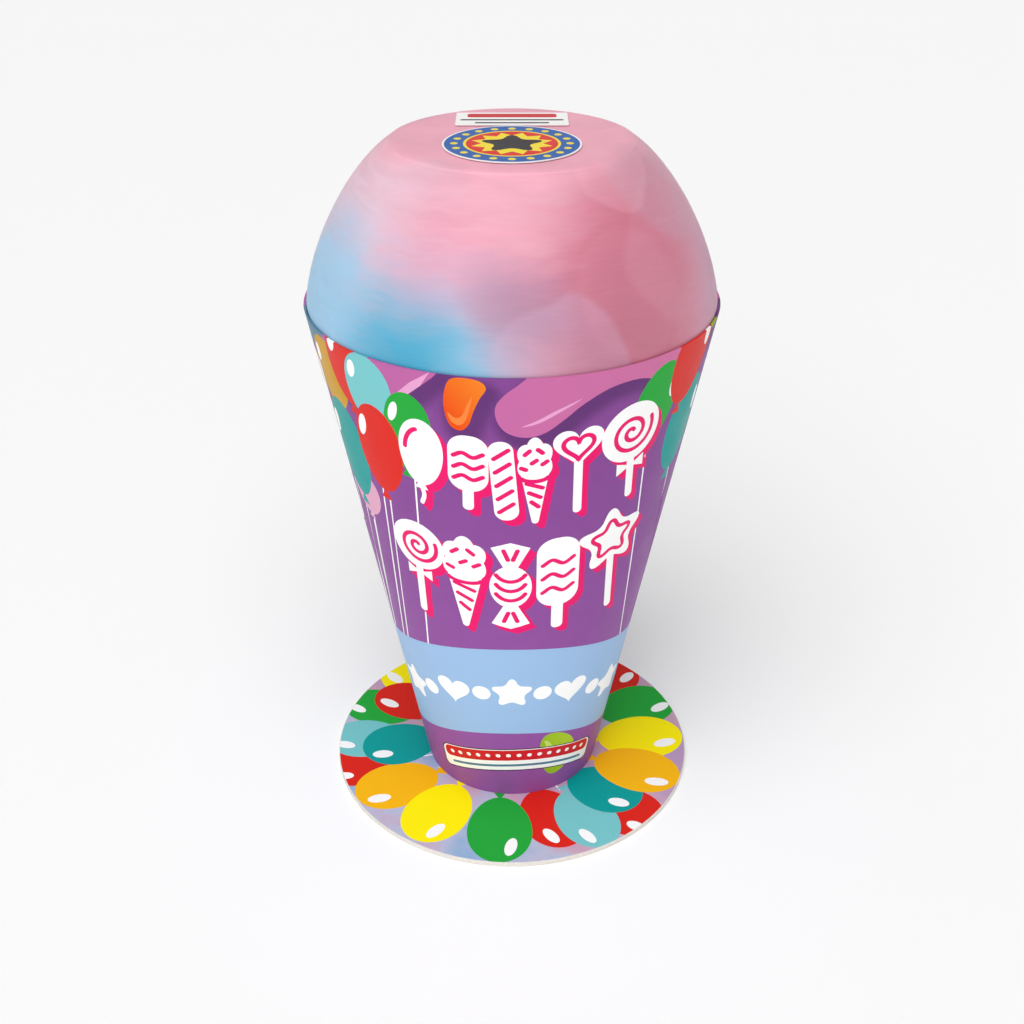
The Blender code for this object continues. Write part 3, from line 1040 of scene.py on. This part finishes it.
def makeBase():
    shapes = []
    for angle, reach, ink, width, length, lean in baseBalloons:
        knot, _ = discPoint(angle, reach - length / 2 - 2)
        centre, _ = discPoint(angle * 0.9, 18)
        shapes.append(stroke("white", [knot, centre], base["string"]))
    for angle, reach, ink, width, length, lean in baseBalloons:
        side = 1 if angle > 0 else -1
        shapes += balloonAt(discPoint, angle, reach, ink, width, length, lean, (0.16 * side, 0.27))
    count = 180
    edgeRadius = base["radius"] - base["ease"]
    border = [discPoint(360 * k / count, edgeRadius)[0] for k in range(count)]
    rings = np.arange(4, edgeRadius - 2, base["grid"])
    spots = [discPoint(6 * k + 3 * n, r)[0] for n, r in enumerate(rings) for k in range(60)]
    flat, faces, inks = printedSheet(shapes, np.array(border), spots, "cloud")
    slots = ["cloud"] + sorted(set(inks) - {"cloud"}) + ["board", "underside"]
    bm, _, _ = sheetMesh(flat, faces, inks, slots, lambda x, y: Vector((x * mm, y * mm, base["thick"])))
    board = slots.index("board")
    ease = base["ease"] * mm
    rim = [e for e in bm.edges if len(e.link_faces) == 1]
    rim = pushedOut(bm, rim, lambda co: inward(co, -ease, ease), board)
    rim = pushedOut(bm, rim, lambda co: inward(co, 0, base["thick"] - 2 * ease), board)
    rim = pushedOut(bm, rim, lambda co: inward(co, ease, ease), board)
    capLoop(bm, rim, slots.index("underside"))
    bmesh.ops.recalc_face_normals(bm, faces=bm.faces)
    special = {"cloud": makeCloudTint(), "board": makeBoard("cut grey board edge", "#E6E1DA", "#CBC5BD"),
               "underside": makeBoard("bare grey board back", "#CFCAC2", "#B9B3AA", 0.8 * mm)}
    piece = meshPiece("base_print", bm, [special.get(s) or inkFor(s) for s in slots])
    piece.data.set_sharp_from_angle(angle=math.radians(30))
    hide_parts("base_disc")
    print("base:", len(piece.data.polygons), "faces")
    return piece


def makeLabel(name, node, outline, shapes, spots, ground):
    low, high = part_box(node)
    middle = (low + high) / 2
    flat, faces, inks = printedSheet(shapes, outline, spots, ground)
    slots = sorted(set(inks)) + ["paper"]
    bm, _, _ = sheetMesh(flat, faces, inks, slots,
                         lambda x, y: Vector((middle.x + x * mm, middle.y + y * mm, high.z)))
    rim = [e for e in bm.edges if len(e.link_faces) == 1]
    paper = slots.index("paper")
    rim = pushedOut(bm, rim, lambda co: Vector((co.x, co.y, low.z)), paper)
    capLoop(bm, rim, paper)
    bmesh.ops.recalc_face_normals(bm, faces=bm.faces)
    special = {"paper": makeBoard(name + " paper edge", "#F4F3F0", "#E4E2DE", 0.3 * mm)}
    piece = meshPiece(name, bm, [special.get(s) or inkFor(s, "labelPaper") for s in slots])
    piece.data.set_sharp_from_angle(angle=math.radians(30))
    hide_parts(node)
    print(name + ":", len(piece.data.polygons), "faces")
    return piece


def makeRoundLabel():
    radius = (roundHigh.x - roundLow.x) / 2 / mm
    rays = []
    for k in range(24):
        a = math.tau * k / 24
        r = radius * (0.60 if k % 2 else 0.44)
        rays.append((r * math.sin(a), r * math.cos(a)))
    border = 1.2  # white edge, both sides together
    shapes = [
        area("labelBlue", oval(2 * radius - border, 2 * radius - border, 72)),
        area("labelYellow", oval(1.40 * radius, 1.40 * radius, 64)),
        area("labelRed", oval(1.32 * radius, 1.32 * radius, 64)),
        area("labelYellow", rays),
        area("ink", starOutline(0.92 * radius, 5, 0.24)),
    ]
    for k in range(20):  # a plain ring of dots
        a = math.tau * k / 20
        at = np.array([math.sin(a), math.cos(a)]) * radius * 0.83
        shapes.append(area("labelYellow", oval(2.5, 2.5, 14) + at))
    return makeLabel("round_label_print", "round_label", oval(2 * radius, 2 * radius, 96),
                     shapes, [], "white")


def makeStripLabel():
    width, height = (stripHigh.x - stripLow.x) / mm, (stripHigh.y - stripLow.y) / mm
    shapes = [area("barRed", roundedBox(width * 0.80, height * 0.30, 1.2) + (0, height * 0.25))]
    for k, share in enumerate((0.92, 0.66)):
        rule = roundedBox(width * share, height * 0.10, 0.7) - (0, height * (0.10 + 0.24 * k))
        shapes.append(area("ink", rule))
    return makeLabel("strip_label_print", "strip_label", roundedBox(width, height, 0.6),
                     shapes, [], "white")


studio = {
    "floorSize": 8, "floor": "#FCFCFC",
    "low": (0.02, 0.9), "high": (0.32, 0.38),  # how high a direction points, and the surround's strength there
    "keyPlace": (-0.30, -1.1, 0.45), "keyTarget": (0, 0, 0.12), "keySize": 0.6, "keyWatts": 1.1,
    "sunHeight": 55, "sunTurn": -16, "sunStrength": 2.15, "sunWidth": 60,  # degrees, but for the strength
}


def makeStage():
    bpy.ops.mesh.primitive_plane_add(size=studio["floorSize"])
    floor = bpy.context.object
    floor.name = "studio_floor"
    material, tree, shader, where = startMaterial("matt white studio paper", shine=0.1)
    shader.inputs["Base Color"].default_value = linearFrom(studio["floor"])
    shader.inputs["Roughness"].default_value = 0.9
    floor.data.materials.append(material)
    world = bpy.data.worlds.new("soft white surround")
    world.use_nodes = True
    sky = world.node_tree
    towards = addNode(sky, "ShaderNodeTexCoord")
    rise = addNode(sky, "ShaderNodeSeparateXYZ", {}, {"Vector": towards.outputs["Generated"]})
    (low, strong), (high, weak) = studio["low"], studio["high"]
    glow = addNode(sky, "ShaderNodeMapRange", {"From Min": low, "From Max": high, "To Min": strong,
                                               "To Max": weak}, {"Value": rise.outputs["Z"]})
    sky.links.new(glow.outputs["Result"], sky.nodes["Background"].inputs["Strength"])
    sky.nodes["Background"].inputs["Color"].default_value = (1, 1, 1, 1)
    bpy.context.scene.world = world


def addLight(name, kind, energy, settings):
    light = bpy.data.lights.new(name, kind)
    light.energy = energy
    for key, value in settings.items():
        setattr(light, key, value)
    lamp = bpy.data.objects.new(name, light)
    bpy.context.scene.collection.objects.link(lamp)
    return lamp


def makeLights():
    key = addLight("key", "AREA", studio["keyWatts"], {"shape": "DISK", "size": studio["keySize"]})
    key.location = studio["keyPlace"]
    aim = Vector(studio["keyTarget"]) - key.location
    key.rotation_euler = aim.to_track_quat("-Z", "Y").to_euler()
    # an even wash over floor and object
    sun = addLight("overhead", "SUN", studio["sunStrength"], {"angle": math.radians(studio["sunWidth"])})
    sun.rotation_euler = (math.radians(90 - studio["sunHeight"]), 0, math.radians(studio["sunTurn"]))


def makeCamera():
    view = {"elevation": 30, "distance": 0.5, "target": Vector((0, 0, 0.11)), "lens": 47.1}
    data = bpy.data.cameras.new("camera")
    data.lens = view["lens"]
    data.sensor_width = 36
    camera = bpy.data.objects.new("camera", data)
    tilt = math.radians(view["elevation"])
    back = Vector((0, -math.cos(tilt), math.sin(tilt)))
    camera.location = view["target"] + back * view["distance"]
    camera.rotation_euler = (-back).to_track_quat("-Z", "Y").to_euler()
    bpy.context.scene.collection.objects.link(camera)
    bpy.context.scene.camera = camera


makeCamera()
makeStage()
makeLights()
bpy.context.scene.view_settings.view_transform = "Standard"
print("stage ready")

makeWrap()
makeDome()
makeBase()
makeRoundLabel()
makeStripLabel()
